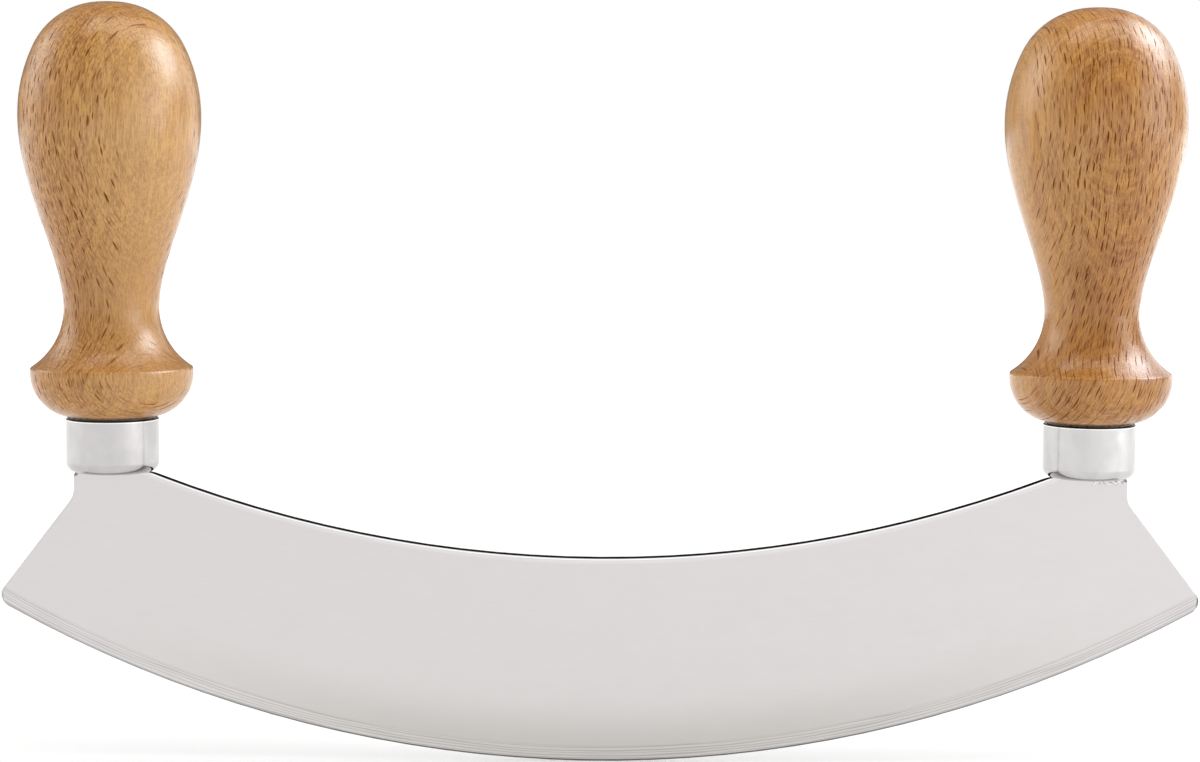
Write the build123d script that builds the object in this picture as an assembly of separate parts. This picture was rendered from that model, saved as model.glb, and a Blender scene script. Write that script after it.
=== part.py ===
from build123d import *
import math
import os

# A mezzaluna: a crescent blade that rocks on its curved edge, with a turned wooden handle at each end.
# Millimetres. X runs along the blade, Y through its thickness, +Z up towards the handles.
# The origin is the lowest point of the cutting edge, in the middle of the sheet's thickness.

# Blade sheet
blade_thickness = 1.8
blade_depth = 39.75  # from the cutting edge up to the spine, in the middle of the blade
edge_radius = 234.0  # curve of the cutting edge
spine_radius = 238.6  # curve of the spine
handle_spacing = 187.2  # between the two handle axes
neck_width = 14.8  # the shoulder that carries a ferrule, across the handle axis
neck_height = 4.7  # upright outer side of the neck, down to the slanted end
end_angle = 37.5  # degrees between the slanted end and the upright
neck_fillet = 5.0  # hollow where the slanted end leaves the neck
neck_corner = 0.9  # outer top corner of the neck
spine_corner = 7.0  # where the spine runs into the shoulder
tip_radius = 2.5  # where the slanted end meets the cutting edge
sheet_edge_round = 0.15  # tumbled edges all round the sheet

# Ground cutting edge, the same on both sides
grind_width = 3.0
hone_width = 1.5
hone_thickness_share = 0.5  # of the sheet, left where the hone begins
edge_thickness = 0.12

# Tang, stamped with the blade and pressed a little thinner
tang_length = 45.0
tang_width = 8.5
tang_press = 0.2  # taken off each side of the sheet
tang_root = 14.0  # plain stretch through the ferrule
tang_point = 8.0  # bare taper past the last barb
tang_tip_width = 2.0
barb_count = 4
barb_depth = 0.7

# Ferrule, a drawn cup with a slot in its floor
ferrule_diameter = 17.6
ferrule_height = 10.35
ferrule_wall = 0.6
ferrule_corner = 2.0  # round outside where the cup's side turns into its floor
ferrule_inner_corner = 1.4  # slanted, and the foot of the wood is cut to the same slant
lip_bevel_share = 0.35  # of the wall, on both edges of the lip
slot_clearance = 0.1  # round the tang, in the ferrule and in the wood

# Handle, turned; its heights are measured up from where the wood comes out of the ferrule
handle_length = 78.75
foot_gap = 0.3  # between the ferrule's lip and the wood
spigot_clearance = 0.05
flange_diameter = 30.8
flange_height = 8.5
crest_rise = 0.9  # upright band between the flange's widest level and its crest
crest_round = 0.7
waist_diameter = 18.04
waist_height = 20.8
bulb_diameter = 34.34
cap_height = 21.6  # from the bulb's widest level up to the top
shoulder_radius = 14.5  # between the bulb's side and the dome on top
dome_width_share = 0.554  # of the bulb, where side and dome would meet if no shoulder rounded them
dome_start_share = 0.94  # of the cap's height, at the same place
pilot_diameter = 6.0
pilot_spare = 2.0  # left over past the tang's point

# Pull at the two ends of the flank's curve, as shares of the height from the waist to the bulb
flank_waist_share = 0.264
flank_bulb_share = 0.373

overrun = 2.0  # how far a shape that cuts or joins another passes its surface

# Worked out from the sizes above
handle_x = handle_spacing / 2
neck_inner_x = handle_x - neck_width / 2
neck_outer_x = handle_x + neck_width / 2
spine_centre_z = blade_depth + spine_radius
shoulder_z = spine_centre_z - math.sqrt(spine_radius**2 - neck_inner_x**2)
tang_thickness = blade_thickness - 2 * tang_press
slot_width = tang_width + 2 * slot_clearance
slot_thickness = tang_thickness + 2 * slot_clearance
ferrule_radius = ferrule_diameter / 2
ferrule_bore = ferrule_radius - ferrule_wall
foot_z = ferrule_height + foot_gap


def tip_point():
    """Where the slanted end, run on from the neck, meets the circle of the cutting edge."""
    slope = math.radians(end_angle)
    start_z = shoulder_z - neck_height
    below_centre = edge_radius - start_z
    along = neck_outer_x * math.sin(slope) + below_centre * math.cos(slope)
    inside = edge_radius**2 - neck_outer_x**2 - below_centre**2
    run = math.sqrt(along**2 + inside) - along
    return neck_outer_x + run * math.sin(slope), start_z - run * math.cos(slope)


def sheet_outline():
    """The crescent seen from the front, as a face in the XZ plane with all its corners rounded."""
    tip_x, tip_z = tip_point()
    neck_low_z = shoulder_z - neck_height
    outline = Curve() + [
        ThreePointArc((-tip_x, tip_z), (0, 0), (tip_x, tip_z)),
        ThreePointArc((neck_inner_x, shoulder_z), (0, blade_depth), (-neck_inner_x, shoulder_z)),
    ]
    for side in (-1, 1):
        outline += Polyline(
            (side * tip_x, tip_z),
            (side * neck_outer_x, neck_low_z),
            (side * neck_outer_x, shoulder_z),
            (side * neck_inner_x, shoulder_z),
        )
    face = make_face(outline)
    corners = [
        (tip_x, tip_z, tip_radius),
        (neck_outer_x, neck_low_z, min(neck_fillet, neck_height)),
        (neck_outer_x, shoulder_z, neck_corner),
        (neck_inner_x, shoulder_z, spine_corner),
    ]
    for x, z, radius in corners:
        for side in (-1, 1):
            corner = face.vertices().sort_by_distance((side * x, z, 0))[0]
            face = fillet(corner, radius)
    return Plane.XZ * face


def grinding_ring(side):
    """What the grindstone takes off one side: a ring about the centre of the cutting edge's curve."""
    half = blade_thickness / 2
    hone_half = half * hone_thickness_share
    edge_half = edge_thickness / 2
    grind_slope = (half - hone_half) / (grind_width - hone_width)
    hone_slope = (hone_half - edge_half) / hone_width
    section = Polyline(
        (side * (edge_half - hone_slope * overrun), -overrun),
        (side * hone_half, hone_width),
        (side * (half + grind_slope * overrun), grind_width + overrun),
        (side * (half + grind_slope * overrun + overrun), -overrun),
        close=True,
    )
    axis = Axis((0, 0, edge_radius), (0, 1, 0))
    return revolve(Plane.YZ * make_face(section), axis)


def tang():
    """One barbed tang on the Z axis, its root sunk into the neck below z = 0."""
    half = tang_width / 2
    pitch = (tang_length - tang_root - tang_point) / barb_count
    edge = [(half, -overrun), (half, tang_root)]
    for barb in range(1, barb_count + 1):
        notch_z = tang_root + barb * pitch
        edge += [(half - barb_depth, notch_z), (half, notch_z)]
    edge.append((tang_tip_width / 2, tang_length))
    other_edge = [(-x, z) for x, z in reversed(edge)]
    face = make_face(Polyline(*edge, *other_edge, close=True))
    return extrude(Plane.XZ * face, tang_thickness / 2, both=True)


def blade():
    sheet = extrude(sheet_outline(), blade_thickness / 2, both=True)
    sides = sheet.faces().sort_by(Axis.Y)
    sheet = fillet(sides[0].edges() + sides[-1].edges(), sheet_edge_round)
    for side in (-1, 1):
        sheet -= grinding_ring(side)
        sheet += Pos(side * handle_x, 0, shoulder_z) * tang()
    return sheet


def ferrule(x):
    """The cup stands on the shoulder of the blade's neck."""
    cup = extrude(Circle(ferrule_radius), ferrule_height)
    cup = fillet(cup.faces().sort_by(Axis.Z)[0].edges(), ferrule_corner)
    inside = extrude(Circle(ferrule_bore), ferrule_height - ferrule_wall + overrun)
    inside = chamfer(inside.faces().sort_by(Axis.Z)[0].edges(), ferrule_inner_corner)
    cup -= Pos(0, 0, ferrule_wall) * inside
    cup = chamfer(cup.faces().sort_by(Axis.Z)[-1].edges(), lip_bevel_share * ferrule_wall)
    cup -= extrude(Rectangle(slot_width, slot_thickness), ferrule_wall + overrun, both=True)
    return Pos(x, 0, shoulder_z) * cup


def handle_section():
    """Half the turned shape, from the spigot's end on the ferrule's floor up to the top of the bulb."""
    spigot = ferrule_bore - spigot_clearance
    flange, waist, bulb = flange_diameter / 2, waist_diameter / 2, bulb_diameter / 2
    widest_z = foot_z + flange_height
    crest_z = widest_z + crest_rise
    waist_z = foot_z + waist_height
    top_z = foot_z + handle_length
    bulb_z = top_z - cap_height
    flank = bulb_z - waist_z
    shoulder = (dome_width_share * bulb, bulb_z + dome_start_share * cap_height)
    outline = Curve() + [
        Polyline(
            (0, ferrule_wall),
            (spigot - ferrule_inner_corner, ferrule_wall),
            (spigot, ferrule_wall + ferrule_inner_corner),
            (spigot, foot_z),
        ),
        TangentArc((flange, widest_z), (spigot, foot_z), tangent=(0, -1)),
        Line((flange, widest_z), (flange, crest_z)),
        TangentArc((waist, waist_z), (flange, crest_z), tangent=(0, -1)),
        Bezier(
            (waist, waist_z),
            (waist, waist_z + flank_waist_share * flank),
            (bulb, bulb_z - flank_bulb_share * flank),
            (bulb, bulb_z),
        ),
        TangentArc((bulb, bulb_z), shoulder, tangent=(0, 1)),
        TangentArc((0, top_z), shoulder, tangent=(1, 0)),
        Line((0, top_z), (0, ferrule_wall)),
    ]
    face = make_face(outline)
    for corner, radius in (((flange, crest_z), crest_round), (shoulder, shoulder_radius)):
        face = fillet(face.vertices().sort_by_distance((*corner, 0))[0], radius)
    return Plane.XZ * face


def handle(x):
    """The turned handle with the socket that its tang is driven into."""
    wood = revolve(handle_section(), Axis.Z)
    wood -= extrude(Circle(pilot_diameter / 2), tang_length + pilot_spare)
    wood -= extrude(Rectangle(slot_width, slot_thickness), tang_length)
    return Pos(x, 0, shoulder_z) * wood


parts = {"blade": blade()}
for name, x in (("left", -handle_x), ("right", handle_x)):
    parts[f"{name}_ferrule"] = ferrule(x)
    parts[f"{name}_handle"] = handle(x)

os.makedirs("parts", exist_ok=True)
for name, shape in parts.items():
    shape.label = name
    export_step(shape, f"parts/{name}.step")
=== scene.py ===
import math
from typing import NamedTuple

import bpy
from mathutils import Matrix, Vector


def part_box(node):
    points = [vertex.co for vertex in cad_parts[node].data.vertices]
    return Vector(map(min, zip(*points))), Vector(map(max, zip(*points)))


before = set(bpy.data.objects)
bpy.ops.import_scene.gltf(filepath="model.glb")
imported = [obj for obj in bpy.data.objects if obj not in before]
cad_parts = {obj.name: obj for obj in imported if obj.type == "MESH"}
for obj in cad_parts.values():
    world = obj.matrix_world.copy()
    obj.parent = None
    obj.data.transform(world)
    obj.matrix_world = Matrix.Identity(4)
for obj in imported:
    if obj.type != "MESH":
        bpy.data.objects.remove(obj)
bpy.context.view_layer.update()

# A mezzaluna on a white studio floor: a satin steel crescent with a chromed ferrule and a turned beech
# knob at each end. Metres. X runs along the blade, Y through its thickness away from the camera, +Z up.
# The cutting edge touches the floor at the origin.

# Picture
PHOTO_WIDTH = 1200  # pixels
SENSOR_WIDTH = 36.0  # millimetres
CAMERA_DISTANCE = 0.5
CAMERA_FOCAL_PIXELS = 2612.5
CAMERA_LOOKS_DOWN = math.radians(4.8)
CAMERA_ROLL = math.radians(0.36)
CAMERA_TARGET = Vector((-0.00025, 0.0, 0.07381))
CAMERA_SEES_FROM, CAMERA_SEES_TO = 0.01, 50.0

# Boxes of CAD pieces, in metres
BLADE_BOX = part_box("blade")
HANDLE_BOX = {side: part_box(f"{side}_handle") for side in ("left", "right")}

# Places on the object, in millimetres, because the textures are laid out in them
MILLIMETRES = 1000.0  # per metre
EDGE_CENTRE_Z = 234.0  # centre of the cutting edge's curve
GRIND_RADIUS = 231.0  # inner limit of the ground band
SPINE_CENTRE_Z = 278.35  # centre of the spine's curve
SPINE_RADIUS = 238.6
TIP_X = BLADE_BOX[1].x * MILLIMETRES
NECK_TOP_Z = 55.865  # where the blade's necks meet the ferrules
NECK_CORNER_X = 100.7  # the outer top corner of a neck, from the middle of the blade
FERRULE_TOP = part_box("left_ferrule")[1].z * MILLIMETRES
FOOT_Z = 66.515  # where the wood comes out of the ferrule
WAIST_Z = 87.3  # where the knobs are narrowest
LEAN_BELOW_Z = 112.0  # the grain is upright above this level and leans below it


def srgb(red, green, blue):
    """Linear colour of a value from 0 to 255 as a picture shows it."""
    def linear(value):
        share = value / 255
        return share / 12.92 if share <= 0.04045 else ((share + 0.055) / 1.055) ** 2.4
    return (linear(red), linear(green), linear(blue), 1.0)


class Nodes:
    """Adds shader nodes to one tree. A value may be a number, a tuple or another node's output."""

    def __init__(self, tree):
        self.tree = tree
        tree.nodes.clear()

    def add(self, kind, inputs=(), **settings):
        node = self.tree.nodes.new("ShaderNode" + kind)
        for name, value in settings.items():
            setattr(node, name, value)
        for name, value in dict(inputs).items():
            self.join(value, node.inputs[name])
        return node

    def join(self, value, socket):
        if isinstance(value, bpy.types.NodeSocket):
            self.tree.links.new(value, socket)
        else:
            socket.default_value = value

    def math(self, operation, *values):
        node = self.add("Math", operation=operation)
        for value, socket in zip(values, node.inputs):
            self.join(value, socket)
        return node.outputs[0]

    def vector(self, operation, *values, result="Vector"):
        node = self.add("VectorMath", operation=operation)
        vectors = [socket for socket in node.inputs if socket.name == "Vector"]
        for value, socket in zip(values, vectors):
            self.join(value, socket)
        return node.outputs[result]

    def length(self, vector):
        return self.vector("LENGTH", vector, result="Value")

    def part(self, vector, axis):
        return self.add("SeparateXYZ", {"Vector": vector}).outputs[axis]

    def combine(self, x=0.0, y=0.0, z=0.0):
        return self.add("CombineXYZ", {"X": x, "Y": y, "Z": z}).outputs[0]

    def range(self, value, low, high, to_low=0.0, to_high=1.0, smooth=False):
        """Turns low into to_low and high into to_high, and stays at either beyond them."""
        kind = "SMOOTHSTEP" if smooth else "LINEAR"
        names = {"Value": value, "From Min": low, "From Max": high, "To Min": to_low, "To Max": to_high}
        return self.add("MapRange", names, interpolation_type=kind).outputs["Result"]

    def noise(self, vector, detail=2.0, roughness=0.5):
        names = {"Vector": vector, "Scale": 1.0, "Detail": detail, "Roughness": roughness}
        return self.add("TexNoise", names).outputs["Fac"]

    def grain(self, coords, size, detail=2.0, roughness=0.5):
        """Noise whose patches are about as long in X, Y and Z as the three sizes say."""
        cells = self.vector("MULTIPLY", coords, tuple(1 / length for length in size))
        return self.noise(cells, detail, roughness)

    def mix(self, share, first, second):
        node = self.add("Mix", data_type="RGBA", blend_type="MIX")
        for value, socket in ((share, node.inputs[0]), (first, node.inputs[6]), (second, node.inputs[7])):
            self.join(value, socket)
        return node.outputs[2]

    def bump(self, height, distance, strength=1.0):
        names = {"Height": height, "Distance": distance, "Strength": strength}
        return self.add("Bump", names).outputs["Normal"]

    def millimetres(self):
        """Where the point is on the object."""
        coords = self.add("TexCoord").outputs["Object"]
        return self.vector("MULTIPLY", coords, (MILLIMETRES, MILLIMETRES, MILLIMETRES))

    def surface(self, shader):
        self.add("OutputMaterial", {"Surface": shader.outputs[0]})


def new_material(name):
    material = bpy.data.materials.new(name)
    material.use_nodes = True
    return material, Nodes(material.node_tree)


def dress(node_name, material):
    """Gives a CAD node its finish."""
    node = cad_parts[node_name]
    if not node.material_slots:
        node.data.materials.append(None)
    for slot in node.material_slots:
        slot.link = "OBJECT"
        slot.material = material


# Beech. The rays are thin upright sheets in the wood that all point one way: end on they are short dark
# dashes, and along their side they are pale flakes, whose paleness is partly the wood's own figure and
# partly painted sheen. Local X runs across the rays, Y along them, Z up.
# Lengths are in millimetres, in the order X, Y, Z.
DRIFT_SCALE, DRIFT_DETAIL = 0.03, 2.0  # the scale is per millimetre
DRIFT_REACH = (5.0, 5.0, 2.0)

# each kind of grain: its length, detail and roughness
GRAIN = {
    "rings": ((9.0, 1.1, 60.0), 3.0, 0.6),
    "ring_lines": ((8.0, 0.3, 25.0), 2.0, 0.6),
    "ray_lines": ((0.3, 7.0, 12.0), 2.0, 0.6),
    "fibres": ((0.25, 0.3, 4.5), 1.0, 0.5),
    "pores": ((0.22, 0.25, 0.6), 0.0, 0.5),
    "strands": ((0.75, 0.9, 9.0), 2.0, 0.5),
    "clouds": ((9.0, 9.0, 22.0), 2.0, 0.5),
    "warmth": ((3.5, 3.5, 9.0), 2.0, 0.6),
    "flakes": ((2.5, 1.5, 0.32), 2.0, 0.6),
}
PITS = ((0.4, 0.4, 0.6), 2.0, 0.6)
TURNING_PITCH, TURNING_DETAIL = 0.55, 3.0
# how much each kind lightens and darkens the wood; the fibres and the pores differ from knob to knob
RING_TONE, RING_LINE_TONE, RAY_LINE_TONE, STRAND_TONE, CLOUD_TONE = 0.7, 1.0, 1.0, 0.8, 0.7
PORE_SHARE = 0.3  # of the fibres' contrast
SEED_STEPS = (10, 20, 30)  # how far a seed of 1 moves the grain
NOISE_MEAN = 0.5
NOISE_LOW, NOISE_HIGH = 0.35, 0.65  # where nearly all of a noise lies

# How the surface lies to the rays is given as a share: 0 shows them end on, 1 side on
SILKY_FROM, SILKY_TO = 0.4, 0.95
SILKY_LEAST, SILKY_MOST = 0.28, 0.5  # share of the flakes' colour, partly painted sheen, between the flakes and on them
FLAKES_FROM = 0.85
BARE_FADE = 0.12
SLANT_LIMIT = 1.04  # a little over 1, so that no dash gets too narrow
LEVEL_FROM, LEVEL_TO, LEVEL_SHARE = 0.35, 0.85, 0.75  # surfaces that face up or down show fewer dashes

# Single rays
RAY_PLACES_VARY = 0.85
RAY_LAYER_SHIFT = 50.0  # cells, at most, from one layer of rays to the next
RAY_SIZES = 0.55, 1.25
RAY_STRENGTHS = 0.5, 1.0
RAY_OUTSIDE, RAY_INSIDE = 1.1, 0.8  # how far out its edge fades
DASH_DEPTH, STROKE_DEPTH = 15.0, 9.0  # how far they run on through the wood
STROKE_SEED = 7.3

# Painted shade at the waist and in the slit, lacquer and relief
# painted shade around the waist: its share, and how far from the waist it fades out and is full
WAIST_SHADE_SHARE, WAIST_SHADE_REACH, WAIST_SHADE_CORE = 0.3, 20.0, 4.0
# painted shade in the slit over the ferrule: how far it fades in, and its colour
SLIT_FADE = 0.1
GAP_SHADE_WOOD = (0.004, 0.003, 0.002, 1.0)
WOOD_ROUGHNESS, WOOD_GLOSS = 0.55, 0.12
LACQUER_IOR = 1.5
LACQUER_GONE = 0.6  # a dash stronger than this has no lacquer left on it
UNDER_LACQUER = 2.0  # how much rougher the wood itself is than the lacquer on it
FIBRE_RELIEF, TURNING_RELIEF, PIT_RELIEF, DASH_RELIEF = 0.5, 0.35, 0.9, -0.3


class Rays(NamedTuple):
    """One kind of ray: the spacing across and up, the width and height of each, and how dark they are."""
    spacing: tuple
    size: tuple
    strength: float


def wood_coords(nodes, axis_x, ray_turn, lean):
    """Straight coordinates, and ones that follow the grain. Below the widest part of the knob it leans over,
    by lean per millimetre."""
    coords = nodes.add("TexCoord").outputs["Object"]
    centred = nodes.vector("SUBTRACT", coords, (axis_x, 0.0, 0.0))
    turned = nodes.add("Mapping", {
        "Vector": centred,
        "Rotation": (0.0, 0.0, -ray_turn),
        "Scale": (MILLIMETRES, MILLIMETRES, MILLIMETRES),
    }).outputs[0]
    # the grain wanders a little on its way up
    wander = nodes.add("TexNoise", {"Vector": turned, "Scale": DRIFT_SCALE, "Detail": DRIFT_DETAIL})
    drift = nodes.vector("SUBTRACT", wander.outputs["Color"], (NOISE_MEAN, NOISE_MEAN, NOISE_MEAN))
    drift = nodes.vector("MULTIPLY", drift, DRIFT_REACH)
    below = nodes.math("MINIMUM", nodes.math("SUBTRACT", nodes.part(turned, "Z"), LEAN_BELOW_Z), 0.0)
    shift = nodes.math("MULTIPLY", nodes.math("MULTIPLY", below, below), lean / 2)
    drift = nodes.vector("ADD", drift, nodes.combine(shift))
    return turned, nodes.vector("ADD", turned, drift)


def ray_flecks(nodes, coords, slant, rays, depth, seed):
    """Mask of the places where rays meet the surface, one ray in each cell. The rays run on through a layer
    of the given depth, and the next layer has others. Slant is the share of a ray's width that a cut across
    it shows, which keeps the marks narrow where the surface lies along the rays."""
    (pitch_x, pitch_z), (width, height) = rays.spacing, rays.size
    layer = nodes.math("ADD", nodes.math("DIVIDE", nodes.part(coords, "Y"), depth), seed)
    layer = nodes.math("FLOOR", layer)
    shift = nodes.add("TexWhiteNoise", {"W": layer}, noise_dimensions="1D").outputs["Color"]
    flat = nodes.combine(
        nodes.math("DIVIDE", nodes.part(coords, "X"), pitch_x),
        nodes.math("DIVIDE", nodes.part(coords, "Z"), pitch_z),
    )
    cells = nodes.vector("MULTIPLY_ADD", shift, (RAY_LAYER_SHIFT, RAY_LAYER_SHIFT, 0.0), flat)
    names = {"Vector": cells, "Scale": 1.0, "Randomness": RAY_PLACES_VARY}
    voronoi = nodes.add("TexVoronoi", names, voronoi_dimensions="2D").outputs
    away = nodes.vector("SUBTRACT", cells, voronoi["Position"])
    lens = nodes.vector("MULTIPLY", away, (2 * pitch_x / width, 2 * pitch_z / height, 0.0))
    across, up = nodes.part(lens, "X"), nodes.part(lens, "Y")
    # a spindle seen end on: widest half way up, and pointed above and below
    reach = nodes.math("MULTIPLY_ADD", up, up, nodes.math("DIVIDE", nodes.math("ABSOLUTE", across), slant))
    growth = nodes.range(nodes.part(voronoi["Color"], "X"), 0.0, 1.0, *RAY_SIZES)
    mask = nodes.range(nodes.math("DIVIDE", reach, growth), RAY_OUTSIDE, RAY_INSIDE, smooth=True)
    strength = nodes.range(nodes.part(voronoi["Color"], "Y"), 0.0, 1.0, *RAY_STRENGTHS)
    return nodes.math("MULTIPLY", mask, strength)


def beech(name, axis_x, ray_turn, lean, ground, deep, blush, fleck, flake, streaks, dashes, strokes,
          bare_from, lacquer_roughness, grain_relief, seed):
    """Ground and blush are the light colours of the wood and deep is the dark one, fleck that of the rays
    end on and flake that of their sides, which is partly the wood's own figure and partly painted sheen.
    Streaks is the contrast of the fibres. Dashes and strokes are the strong and the faint rays; from
    bare_from on, the surface lies too much along them to show either."""
    material, nodes = new_material(name)
    plain, coords = wood_coords(nodes, axis_x, ray_turn, lean)
    seeded = nodes.vector("ADD", coords, tuple(seed * step for step in SEED_STEPS))

    # how the surface lies to the rays
    normal = nodes.add("TexCoord").outputs["Normal"]
    across_rays = (math.cos(ray_turn), math.sin(ray_turn), 0.0)
    side_on = nodes.math("ABSOLUTE", nodes.vector("DOT_PRODUCT", normal, across_rays, result="Value"))
    silky_sheen = nodes.range(side_on, SILKY_FROM, SILKY_TO, smooth=True)
    end_on = nodes.range(side_on, bare_from + BARE_FADE, bare_from, smooth=True)
    upward = nodes.math("ABSOLUTE", nodes.part(normal, "Z"))
    end_on = nodes.math("MULTIPLY", end_on, nodes.range(upward, LEVEL_FROM, LEVEL_TO, 1.0, LEVEL_SHARE))
    slant = nodes.math("SQRT", nodes.math("SUBTRACT", SLANT_LIMIT, nodes.math("MULTIPLY", side_on, side_on)))

    # growth rings, fibres and the drift of colour through the block
    grain = {kind: nodes.grain(seeded, *settings) for kind, settings in GRAIN.items()}
    tones = {
        "rings": RING_TONE, "ring_lines": RING_LINE_TONE, "ray_lines": RAY_LINE_TONE, "fibres": streaks,
        "pores": PORE_SHARE * streaks, "strands": STRAND_TONE, "clouds": CLOUD_TONE,
    }
    tone = NOISE_MEAN
    for kind, amount in tones.items():
        tone = nodes.math("MULTIPLY_ADD", nodes.math("SUBTRACT", grain[kind], NOISE_MEAN), amount, tone)
    colour = nodes.mix(nodes.range(grain["warmth"], NOISE_LOW, NOISE_HIGH), ground, blush)
    colour = nodes.mix(nodes.range(tone, 0.0, 1.0), deep, colour)
    # the pale flakes, and the paler wood where the surface lies side on to the rays, are partly the wood's
    # own figure and partly painted sheen
    flakes = nodes.range(grain["flakes"], NOISE_LOW, NOISE_HIGH)
    flakes = nodes.math("MULTIPLY", flakes, nodes.range(side_on, FLAKES_FROM, 1.0, smooth=True))
    pale = nodes.math("MULTIPLY", silky_sheen, nodes.range(flakes, 0.0, 1.0, SILKY_LEAST, SILKY_MOST))
    colour = nodes.mix(pale, colour, flake)

    # painted shade: the wood is darkened towards the waist
    height = nodes.part(plain, "Z")
    from_waist = nodes.math("ABSOLUTE", nodes.math("SUBTRACT", height, WAIST_Z))
    waist_shade = nodes.range(from_waist, WAIST_SHADE_REACH, WAIST_SHADE_CORE, smooth=True)
    colour = nodes.mix(nodes.math("MULTIPLY", waist_shade, WAIST_SHADE_SHARE), colour, deep)

    # the rays: strong dashes, and small faint ones between them
    marks = []
    for rays, depth, start in ((dashes, DASH_DEPTH, seed), (strokes, STROKE_DEPTH, seed + STROKE_SEED)):
        mask = nodes.math("MULTIPLY", ray_flecks(nodes, coords, slant, rays, depth, start), end_on)
        colour = nodes.mix(nodes.math("MULTIPLY", mask, rays.strength), colour, fleck)
        marks.append(mask)

    # painted shade: the slit over the ferrule is painted black
    slit = nodes.range(height, FOOT_Z + SLIT_FADE, FOOT_Z)
    colour = nodes.mix(slit, colour, GAP_SHADE_WOOD)

    # what the lathe and the sandpaper left, under the lacquer
    turning = nodes.noise(nodes.combine(z=nodes.math("DIVIDE", height, TURNING_PITCH)), TURNING_DETAIL)
    pits = nodes.grain(plain, *PITS)
    relief = 0.0
    for layer, amount in ((grain["fibres"], FIBRE_RELIEF), (turning, TURNING_RELIEF), (pits, PIT_RELIEF),
                          (marks[0], DASH_RELIEF)):
        relief = nodes.math("MULTIPLY_ADD", layer, amount, relief)
    nodes.surface(nodes.add("BsdfPrincipled", {
        "Base Color": colour,
        "Roughness": WOOD_ROUGHNESS,
        "Specular IOR Level": WOOD_GLOSS,
        "Normal": nodes.bump(relief, UNDER_LACQUER * grain_relief),
        "Coat Weight": nodes.range(marks[0], 0.0, LACQUER_GONE, 1.0, 0.0),
        "Coat Roughness": lacquer_roughness,
        "Coat IOR": LACQUER_IOR,
        "Coat Normal": nodes.bump(relief, grain_relief),
    }))
    return material


# Blade: rolled stainless sheet with a satin face, a ground band along the edge, and a sheared cut all round,
# painted near black partly for its own dull finish and partly as painted shade. Lengths are in millimetres,
# colours are linear.
ROLLING = ((9.0, 1.0, 0.12), 3.0, 0.6)
MOTTLE = ((14.0, 14.0, 9.0), 3.0, 0.55)
ROLLING_SHARE = 0.35
STEEL_NOISE_LOW, STEEL_NOISE_HIGH = 0.3, 0.7
STEEL_DULL, STEEL_PALE = (0.655, 0.633, 0.627, 1.0), (0.715, 0.693, 0.687, 1.0)

# under the spine
PALE_BAND_FROM, PALE_BAND_TO, PALE_BAND_SHARE = 1.3, 0.9, 0.5
PALE_BAND = (0.80, 0.78, 0.775, 1.0)
# a painted highlight line just under the spine
SPINE_HIGHLIGHT_FROM, SPINE_HIGHLIGHT_TO = 0.5, 0.4
SPINE_HIGHLIGHT = (0.95, 0.94, 0.935, 1.0)

# along the cutting edge
MIDDLE_FROM, MIDDLE_TO = 105.0, 30.0  # from the middle of the blade
LINE_PITCH, LINE_WANDER, LINE_WANDER_DETAIL = 0.55, 9.0, 1.0
LINE_WANDER_ACROSS, LINE_WANDER_ALONG = 0.7, 22.0
LINES_FROM, LINES_TO, LINES_SHARE = 0.6, 0.95, 0.4
BORDER_REACH, BORDER_CORE, BORDER_SHARE = 0.2, 0.05, 0.15
GRIND_FADE = 0.1
GROUND_STEEL, GROUND_LINE = (0.70, 0.68, 0.655, 1.0), (0.25, 0.245, 0.24, 1.0)
# painted shade on the steel just above the ground band, strongest in the middle
LOW_SHADE_FROM, LOW_SHADE_TO, LOW_SHADE_SHARE = 221.0, 231.0, 0.36  # from the centre of the edge's curve
LOW_SHADE = (0.45, 0.43, 0.38, 1.0)
BORDER = (0.3, 0.29, 0.28, 1.0)
# a painted shadow line along the very edge, stronger in the middle than at the tips
EDGE_SHADE_FROM, EDGE_SHADE_TO = 0.4, 0.22  # in from the edge itself
EDGE_SHADE_AT_TIPS, EDGE_SHADE_IN_MIDDLE = 0.5, 0.9
EDGE_SHADE = (0.08, 0.08, 0.08, 1.0)

# at the tips and the necks
TIP_FROM, TIP_TO = 0.45, 0.15
TIP_LEFT, TIP_RIGHT = 0.35, 0.85
SIDES_PART = 1.0  # the left tip's value ends this far left of the middle, the right tip's this far right
CORNER_DROP, CORNER_REACH, CORNER_CORE, CORNER_SHARE = 0.35, 0.65, 0.35, 0.75
TIP_DARK = (0.06, 0.06, 0.06, 1.0)
JOINT_REACH, JOINT_CORE, JOINT_FROM_X = 1.6, 0.6, 94.0
JOINT_MARKS = (0.8, 0.8, 0.4)
JOINT_PALE_FROM, JOINT_PALE_TO, JOINT_PALE_SHARE = 0.45, 0.38, 0.7
JOINT_DARK_FROM, JOINT_DARK_TO = 0.56, 0.62
JOINT_PALE, JOINT_DARK = (0.95, 0.94, 0.93, 1.0), (0.12, 0.11, 0.11, 1.0)

# on the cut
CUT_FROM, CUT_TO = 0.7, 0.55  # share of the surface's way that points out of the sheet
CUT_TOP_FROM, CUT_TOP_TO = 0.2, 0.12
CUT_GRAIN = ((2.0, 0.4, 2.0), 3.0)
# near black: partly the cut's dull finish, partly painted shade
CUT_BLACK, CUT_GREY = (0.004, 0.004, 0.004, 1.0), (0.03, 0.03, 0.029, 1.0)

SATIN_FROM, SATIN_TO = 0.3, 1.6
SATIN_ROUGHNESS, CUT_ROUGHNESS = 0.28, 0.55
STEEL_GLANCE = (0.12, 0.12, 0.12, 1.0)
STEEL_RELIEF, STEEL_RELIEF_STRENGTH = 0.000004, 0.5  # metres


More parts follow.
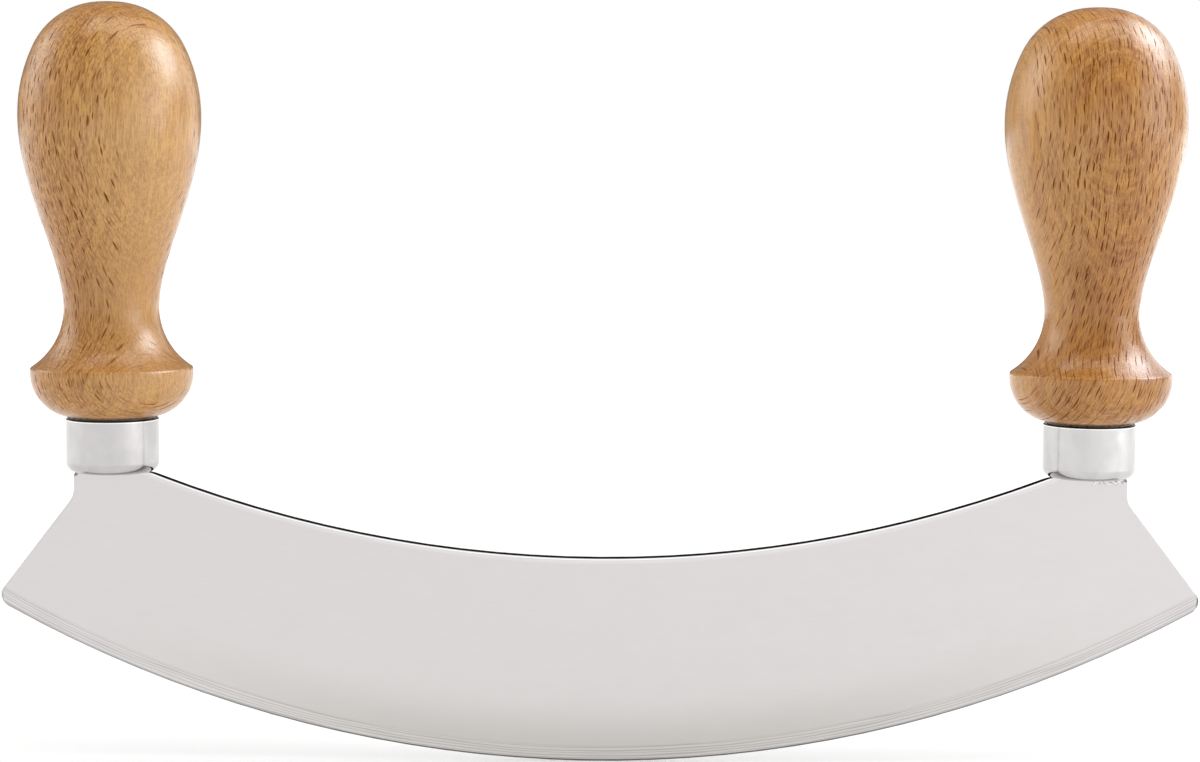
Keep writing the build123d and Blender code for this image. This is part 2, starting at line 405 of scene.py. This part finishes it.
def satin_steel():
    material, nodes = new_material("satin_steel")
    plain = nodes.millimetres()
    side, height = nodes.part(plain, "X"), nodes.part(plain, "Z")
    outward = nodes.math("ABSOLUTE", side)

    def ring(centre_z):
        """Distance from a centre on the blade's middle line, for what runs along one of its curves."""
        return nodes.length(nodes.combine(side, 0.0, nodes.math("SUBTRACT", height, centre_z)))

    rolling = nodes.grain(plain, *ROLLING)
    mottle = nodes.grain(plain, *MOTTLE)
    tone = nodes.math("ADD", nodes.math("MULTIPLY", rolling, ROLLING_SHARE),
                      nodes.math("MULTIPLY", mottle, 1 - ROLLING_SHARE))
    face = nodes.mix(nodes.range(tone, STEEL_NOISE_LOW, STEEL_NOISE_HIGH), STEEL_DULL, STEEL_PALE)

    # a painted highlight line just under the spine, and a soft pale band under it
    below_spine = nodes.math("SUBTRACT", ring(SPINE_CENTRE_Z), SPINE_RADIUS)
    pale_band = nodes.range(below_spine, PALE_BAND_FROM, PALE_BAND_TO, 0.0, PALE_BAND_SHARE)
    face = nodes.mix(pale_band, face, PALE_BAND)
    face = nodes.mix(nodes.range(below_spine, SPINE_HIGHLIGHT_FROM, SPINE_HIGHLIGHT_TO), face, SPINE_HIGHLIGHT)

    # the ground band carries fine lines along the edge; it and the steel above it are darkest in the middle,
    # where painted shade darkens the steel above the band and a painted shadow line runs along the edge
    radius = ring(EDGE_CENTRE_Z)
    middle = nodes.range(outward, MIDDLE_FROM, MIDDLE_TO, smooth=True)
    wander = nodes.noise(nodes.combine(nodes.math("DIVIDE", radius, LINE_WANDER_ACROSS),
                                       nodes.math("DIVIDE", side, LINE_WANDER_ALONG)), LINE_WANDER_DETAIL)
    turns = nodes.math("MULTIPLY", radius, math.tau / LINE_PITCH)
    phase = nodes.math("MULTIPLY_ADD", wander, LINE_WANDER, turns)
    lines = nodes.math("MULTIPLY_ADD", nodes.math("SINE", phase), 0.5, 0.5)  # from 0 to 1
    grind = nodes.range(radius, GRIND_RADIUS - GRIND_FADE, GRIND_RADIUS + GRIND_FADE)
    band = nodes.mix(middle, face, GROUND_STEEL)
    band = nodes.mix(nodes.range(lines, LINES_FROM, LINES_TO, 0.0, LINES_SHARE), band, GROUND_LINE)
    low_shade = nodes.range(radius, LOW_SHADE_FROM, LOW_SHADE_TO, 0.0, LOW_SHADE_SHARE, smooth=True)
    face = nodes.mix(nodes.math("MULTIPLY", middle, low_shade), face, LOW_SHADE)
    colour = nodes.mix(grind, face, band)
    border = nodes.math("ABSOLUTE", nodes.math("SUBTRACT", radius, GRIND_RADIUS))
    colour = nodes.mix(nodes.range(border, BORDER_REACH, BORDER_CORE, 0.0, BORDER_SHARE), colour, BORDER)
    # painted shadow along the very edge
    edge_shade = nodes.range(radius, EDGE_CENTRE_Z - EDGE_SHADE_FROM, EDGE_CENTRE_Z - EDGE_SHADE_TO)
    edge_shade = nodes.math("MULTIPLY", edge_shade, nodes.range(middle, 0.0, 1.0, EDGE_SHADE_AT_TIPS, EDGE_SHADE_IN_MIDDLE))
    colour = nodes.mix(edge_shade, colour, EDGE_SHADE)

    # the very tips, and the corners of the necks under the ferrules, are dark
    tip = nodes.range(outward, TIP_X - TIP_FROM, TIP_X - TIP_TO)
    tip = nodes.math("MULTIPLY", tip, nodes.range(side, -SIDES_PART, SIDES_PART, TIP_LEFT, TIP_RIGHT))
    across_corner = nodes.math("SUBTRACT", outward, NECK_CORNER_X)
    up_corner = nodes.math("SUBTRACT", height, NECK_TOP_Z - CORNER_DROP)
    corner = nodes.length(nodes.combine(across_corner, 0.0, up_corner))
    corner = nodes.range(corner, CORNER_REACH, CORNER_CORE, 0.0, CORNER_SHARE)
    colour = nodes.mix(nodes.math("MAXIMUM", tip, corner), colour, TIP_DARK)

    # small marks of the joint on the right neck, under the ferrule
    near_joint = nodes.range(height, NECK_TOP_Z - JOINT_REACH, NECK_TOP_Z - JOINT_CORE)
    near_joint = nodes.math("MULTIPLY", near_joint, nodes.math("GREATER_THAN", side, JOINT_FROM_X))
    marks = nodes.grain(plain, JOINT_MARKS)
    pale_marks = nodes.math("MULTIPLY", nodes.range(marks, JOINT_PALE_FROM, JOINT_PALE_TO), near_joint)
    colour = nodes.mix(nodes.math("MULTIPLY", pale_marks, JOINT_PALE_SHARE), colour, JOINT_PALE)
    dark_marks = nodes.math("MULTIPLY", nodes.range(marks, JOINT_DARK_FROM, JOINT_DARK_TO), near_joint)
    colour = nodes.mix(dark_marks, colour, JOINT_DARK)

    # the cut: wherever the surface turns away from the sheet's own sides; its near-black colour is partly
    # its dull finish and partly painted shade
    facing = nodes.math("ABSOLUTE", nodes.part(nodes.add("NewGeometry").outputs["Normal"], "Y"))
    cut = nodes.math("MAXIMUM", nodes.range(facing, CUT_FROM, CUT_TO),
                     nodes.range(below_spine, CUT_TOP_FROM, CUT_TOP_TO))
    colour = nodes.mix(cut, colour, nodes.mix(nodes.grain(plain, *CUT_GRAIN), CUT_BLACK, CUT_GREY))

    relief = nodes.math("ADD", nodes.math("MULTIPLY", rolling, nodes.math("SUBTRACT", 1.0, grind)),
                        nodes.math("MULTIPLY", lines, grind))
    rough = nodes.math("ADD", mottle, cut)
    nodes.surface(nodes.add("BsdfPrincipled", {
        "Base Color": colour,
        "Metallic": 1.0,
        "Roughness": nodes.range(rough, SATIN_FROM, SATIN_TO, SATIN_ROUGHNESS, CUT_ROUGHNESS),
        "Specular Tint": STEEL_GLANCE,
        "Normal": nodes.bump(relief, STEEL_RELIEF, STEEL_RELIEF_STRENGTH),
    }))
    return material


# Ferrules: drawn cups, plated bright
CHROME_MOTTLE = ((3.0, 3.0, 4.0), 3.0)
CHROME_DRAWN = (0.25, 0.25, 5.0)
CHROME_NOISE_LOW, CHROME_NOISE_HIGH = 0.3, 0.7
CHROME_ROUGHNESS = 0.13, 0.2
CHROME_RELIEF, CHROME_RELIEF_STRENGTH = 0.00003, 0.35  # metres
DRAWN_RELIEF = 0.1
LIP_FROM, LIP_TO, LIP_SHARE = 0.45, 0.3, 0.8  # millimetres under the top
# colour of the painted highlight on the lip
LIP_HIGHLIGHT = (0.92, 0.915, 0.91, 1.0)
# painted shade on the bevel on top of the lip: where it fades in, and its colour
GAP_SHADE_FROM, GAP_SHADE_TO = 0.2, 0.14
GAP_SHADE_METAL = (0.03, 0.028, 0.025, 1.0)


def bright_chrome(name, dull, pale):
    material, nodes = new_material(name)
    plain = nodes.millimetres()
    height = nodes.part(plain, "Z")
    mottle = nodes.grain(plain, *CHROME_MOTTLE)
    drawn = nodes.grain(plain, CHROME_DRAWN)
    colour = nodes.mix(nodes.range(mottle, CHROME_NOISE_LOW, CHROME_NOISE_HIGH), dull, pale)
    # painted highlight: a pale band just under the top of the lip
    lip = nodes.range(height, FERRULE_TOP - LIP_FROM, FERRULE_TOP - LIP_TO)
    colour = nodes.mix(nodes.math("MULTIPLY", lip, LIP_SHARE), colour, LIP_HIGHLIGHT)
    # painted shade: the bevel on top of the lip is painted dark, like the slit above
    gap_shade = nodes.range(height, FERRULE_TOP - GAP_SHADE_FROM, FERRULE_TOP - GAP_SHADE_TO)
    colour = nodes.mix(gap_shade, colour, GAP_SHADE_METAL)
    relief = nodes.math("ADD", mottle, nodes.math("MULTIPLY", drawn, DRAWN_RELIEF))
    nodes.surface(nodes.add("BsdfPrincipled", {
        "Base Color": colour,
        "Metallic": 1.0,
        "Roughness": nodes.range(mottle, CHROME_NOISE_LOW, CHROME_NOISE_HIGH, *CHROME_ROUGHNESS),
        "Normal": nodes.bump(relief, CHROME_RELIEF, CHROME_RELIEF_STRENGTH),
    }))
    return material


# Studio
FLOOR_SIZE = 8.0
FLOOR_ALBEDO = 0.8
FLOOR_LIFT_NEAR, FLOOR_LIFT_FAR = 0.24, 0.82  # how much whiter the floor looks than its light makes it
FLOOR_LIFT_LEFT, FLOOR_LIFT_RIGHT = -0.01, 0.07  # added to it on either hand
FLOOR_NEAR, FLOOR_FAR = 0.2, 1.25  # metres from the object, where the lift starts and ends its rise
FLOOR_HAND = 0.3  # metres to either side, where the floor has its left or right lift in full
ROOM_LEVEL_BEFORE = 0.45  # light that the room itself sheds on everything, from the camera's side
ROOM_LEVEL_BEHIND = 0.66  # and from behind and beside the object
ROOM_GLOSS_BEFORE = 0.3  # what gloss sees of the room on the camera's side
ROOM_GLOSS_BEHIND = 0.2  # and behind the object
ROOM_GLOSS_LOW = 0.85  # and just above the floor on the camera's side, where walls and floor run together
# the room changes over these stretches of the way that is looked along, whose length is 1
ROOM_LEVEL_TURN = -0.8, 0.0
ROOM_GLOSS_TURN = -0.3, 0.3
ROOM_GLOSS_RISE = 0.6, 0.0
PANEL_CORE = 0.2  # share of a panel's half width that shines in full


def seen_directly(nodes):
    """1 for rays that look at something, through or off a surface or straight; 0 for rays that light it."""
    path = nodes.add("LightPath").outputs
    seen = nodes.math("MAXIMUM", path["Is Camera Ray"], path["Is Glossy Ray"])
    return nodes.math("MAXIMUM", seen, path["Is Transmission Ray"])


def studio_floor():
    half = FLOOR_SIZE / 2
    corners = [(-half, -half, 0), (half, -half, 0), (half, half, 0), (-half, half, 0)]
    mesh = bpy.data.meshes.new("studio_floor")
    mesh.from_pydata(corners, [], [(0, 1, 2, 3)])
    floor = bpy.data.objects.new("studio_floor", mesh)
    bpy.context.scene.collection.objects.link(floor)
    material, nodes = new_material("white_floor")
    place = nodes.add("TexCoord").outputs["Object"]
    lit = nodes.add("BsdfDiffuse", {"Color": (FLOOR_ALBEDO, FLOOR_ALBEDO, FLOOR_ALBEDO, 1.0)})
    whiter = nodes.range(nodes.length(place), FLOOR_NEAR, FLOOR_FAR, FLOOR_LIFT_NEAR, FLOOR_LIFT_FAR)
    sideways = nodes.range(nodes.part(place, "X"), -FLOOR_HAND, FLOOR_HAND,
                           FLOOR_LIFT_LEFT, FLOOR_LIFT_RIGHT, smooth=True)
    whiter = nodes.math("ADD", whiter, sideways)
    lift = nodes.add("Emission", {"Strength": nodes.math("MULTIPLY", seen_directly(nodes), whiter)})
    both = nodes.add("AddShader")
    nodes.join(lit.outputs[0], both.inputs[0])
    nodes.join(lift.outputs[0], both.inputs[1])
    nodes.surface(both)
    mesh.materials.append(material)


def studio_world():
    world = bpy.data.worlds.new("studio_world")
    world.use_nodes = True
    bpy.context.scene.world = world
    nodes = Nodes(world.node_tree)
    path = nodes.add("LightPath").outputs
    way = nodes.add("TexCoord").outputs["Generated"]
    away = nodes.part(way, "Y")
    # gloss finds a dim room, darker behind the object than before it
    behind = nodes.range(away, *ROOM_GLOSS_TURN, smooth=True)
    low = nodes.range(nodes.part(way, "Z"), *ROOM_GLOSS_RISE, ROOM_GLOSS_BEFORE, ROOM_GLOSS_LOW, smooth=True)
    gloss = nodes.math("MULTIPLY_ADD", behind, nodes.math("SUBTRACT", ROOM_GLOSS_BEHIND, low), low)
    shed = nodes.range(away, *ROOM_LEVEL_TURN, ROOM_LEVEL_BEFORE, ROOM_LEVEL_BEHIND, smooth=True)
    # what is looked at straight or through something is white
    level = nodes.math("MULTIPLY", path["Is Glossy Ray"], gloss)
    level = nodes.math("MAXIMUM", level, path["Is Camera Ray"])
    level = nodes.math("MAXIMUM", level, path["Is Transmission Ray"])
    lights = nodes.math("SUBTRACT", 1.0, seen_directly(nodes))
    level = nodes.math("MAXIMUM", level, nodes.math("MULTIPLY", lights, shed))
    background = nodes.add("Background", {"Color": (1.0, 1.0, 1.0, 1.0), "Strength": level})
    nodes.add("OutputWorld", {"Surface": background.outputs[0]})


def softbox(name, direction, distance, width, height, brightness, across=None, rim=None, half_spread=None,
            gleam_only=False, tint=(1.0, 1.0, 1.0)):
    """A lit panel that faces the middle of the object; brightness is what it looks like, 1 being white.
    Its width runs level, or as near to the given way as a panel that faces the object can. With a rim, it
    fades from the brightness in its middle to that share of it at its sides. With a half spread, a grid
    keeps its light within that angle of the way it faces. With gleam only, it shows in gloss alone.
    The tint is the colour of its light."""
    lamp = bpy.data.lights.new(name, "AREA")
    lamp.shape = "RECTANGLE"
    lamp.size, lamp.size_y = width, height
    lamp.energy = brightness * math.pi * width * height
    lamp.color = tint
    if half_spread is not None:
        # a lamp's energy stays the same behind a grid, so what the grid would gather is taken off
        lamp.spread = 2 * half_spread
        cut_off = (half_spread - math.sin(2 * half_spread) / 2) / math.tan(half_spread)
        lamp.energy *= math.sin(half_spread) ** 2 - cut_off
    towards = Vector(direction).normalized()
    panel = bpy.data.objects.new(name, lamp)
    right = Vector(across) if across else Vector((0.0, 0.0, 1.0)).cross(towards)
    right = (right - right.dot(towards) * towards).normalized()
    turn = Matrix((right, towards.cross(right), towards)).transposed().to_4x4()
    panel.matrix_world = Matrix.Translation(CAMERA_TARGET + towards * distance) @ turn
    panel.visible_camera = False
    panel.visible_diffuse = not gleam_only
    if rim is not None:
        lamp.use_nodes = True
        nodes = Nodes(lamp.node_tree)
        # the place on the panel, from -1 to 1 either way
        spot = nodes.vector("SUBTRACT", nodes.add("NewGeometry").outputs["Parametric"], (0.5, 0.5, 0.0))
        spot = nodes.vector("MULTIPLY", spot, (2.0, 2.0, 0.0))
        fade = nodes.range(nodes.length(spot), PANEL_CORE, 1.0, 1.0, rim, smooth=True)
        nodes.add("OutputLight", {"Surface": nodes.add("Emission", {"Strength": fade}).outputs[0]})
    bpy.context.scene.collection.objects.link(panel)


def photo_camera():
    """Looks at the object from where the photograph was taken."""
    forward = Vector((0.0, math.cos(CAMERA_LOOKS_DOWN), -math.sin(CAMERA_LOOKS_DOWN)))
    level_up = Vector((0.0, math.sin(CAMERA_LOOKS_DOWN), math.cos(CAMERA_LOOKS_DOWN)))
    level_right = Vector((1.0, 0.0, 0.0))
    right = level_right * math.cos(CAMERA_ROLL) + level_up * math.sin(CAMERA_ROLL)
    up = level_up * math.cos(CAMERA_ROLL) - level_right * math.sin(CAMERA_ROLL)
    place = CAMERA_TARGET - forward * CAMERA_DISTANCE
    data = bpy.data.cameras.new("photo_camera")
    data.sensor_width = SENSOR_WIDTH
    data.lens = CAMERA_FOCAL_PIXELS * SENSOR_WIDTH / PHOTO_WIDTH
    data.clip_start, data.clip_end = CAMERA_SEES_FROM, CAMERA_SEES_TO
    camera = bpy.data.objects.new("photo_camera", data)
    camera.matrix_world = Matrix.Translation(place) @ Matrix((right, up, -forward)).transposed().to_4x4()
    bpy.context.scene.collection.objects.link(camera)
    bpy.context.scene.camera = camera


handle_x = {side: (low.x + high.x) / 2 for side, (low, high) in HANDLE_BOX.items()}

dress("left_handle", beech(
    "beech_left", handle_x["left"], ray_turn=math.radians(-46), lean=-0.003,
    ground=srgb(229, 170, 86), deep=srgb(172, 112, 42), blush=srgb(224, 165, 101),
    fleck=srgb(122, 60, 4), flake=srgb(230, 188, 132), streaks=2.2,
    dashes=Rays(spacing=(1.8, 3.0), size=(0.31, 2.1), strength=1.0),
    strokes=Rays(spacing=(0.85, 2.2), size=(0.24, 1.8), strength=0.6),
    bare_from=0.8, lacquer_roughness=0.2, grain_relief=0.00004, seed=3.0))
dress("right_handle", beech(
    "beech_right", handle_x["right"], ray_turn=math.radians(10), lean=0.009,
    ground=srgb(229, 165, 78), deep=srgb(159, 94, 29), blush=srgb(225, 166, 100),
    fleck=srgb(110, 48, 0), flake=srgb(228, 184, 126), streaks=0.9,
    dashes=Rays(spacing=(1.3, 2.9), size=(0.28, 2.4), strength=0.95),
    strokes=Rays(spacing=(0.75, 2.1), size=(0.2, 1.8), strength=0.5),
    bare_from=0.85, lacquer_roughness=0.17, grain_relief=0.00003, seed=11.0))
# The two ferrules are plated alike; the left one's colours are darker as painted shade and the right one's
# lighter as painted light.
dress("left_ferrule", bright_chrome(
    "chrome_left", dull=(0.5, 0.486, 0.48, 1.0), pale=(0.575, 0.56, 0.552, 1.0)))
dress("right_ferrule", bright_chrome(
    "chrome_right", dull=(0.545, 0.532, 0.526, 1.0), pale=(0.625, 0.612, 0.606, 1.0)))
dress("blade", satin_steel())

studio_floor()
studio_world()
softbox("key", direction=(0.75, 0.2, 0.62), distance=0.65, width=0.62, height=0.48, brightness=9.4,
        rim=0.2, half_spread=math.radians(55), gleam_only=True, tint=(0.85, 0.97, 1.1))
softbox("right_wall", direction=(1.0, -0.3, 0.15), distance=1.1, width=1.7, height=1.1, brightness=2.45,
        rim=0.5, half_spread=math.radians(45))
softbox("right_back", direction=(0.62, 0.8, 0.1), distance=1.2, width=0.7, height=1.2, brightness=1.4,
        rim=0.6, half_spread=math.radians(45), gleam_only=True)
softbox("ceiling", direction=(0.2, -0.05, 1.0), distance=0.85, width=1.35, height=0.5, brightness=1.6,
        across=(1.0, 0.0, 0.0))
softbox("left_wall", direction=(-1.0, 0.25, 0.42), distance=1.3, width=1.6, height=1.6, brightness=2.6,
        rim=0.2, half_spread=math.radians(45))
photo_camera()

bpy.context.scene.view_settings.view_transform = "Standard"
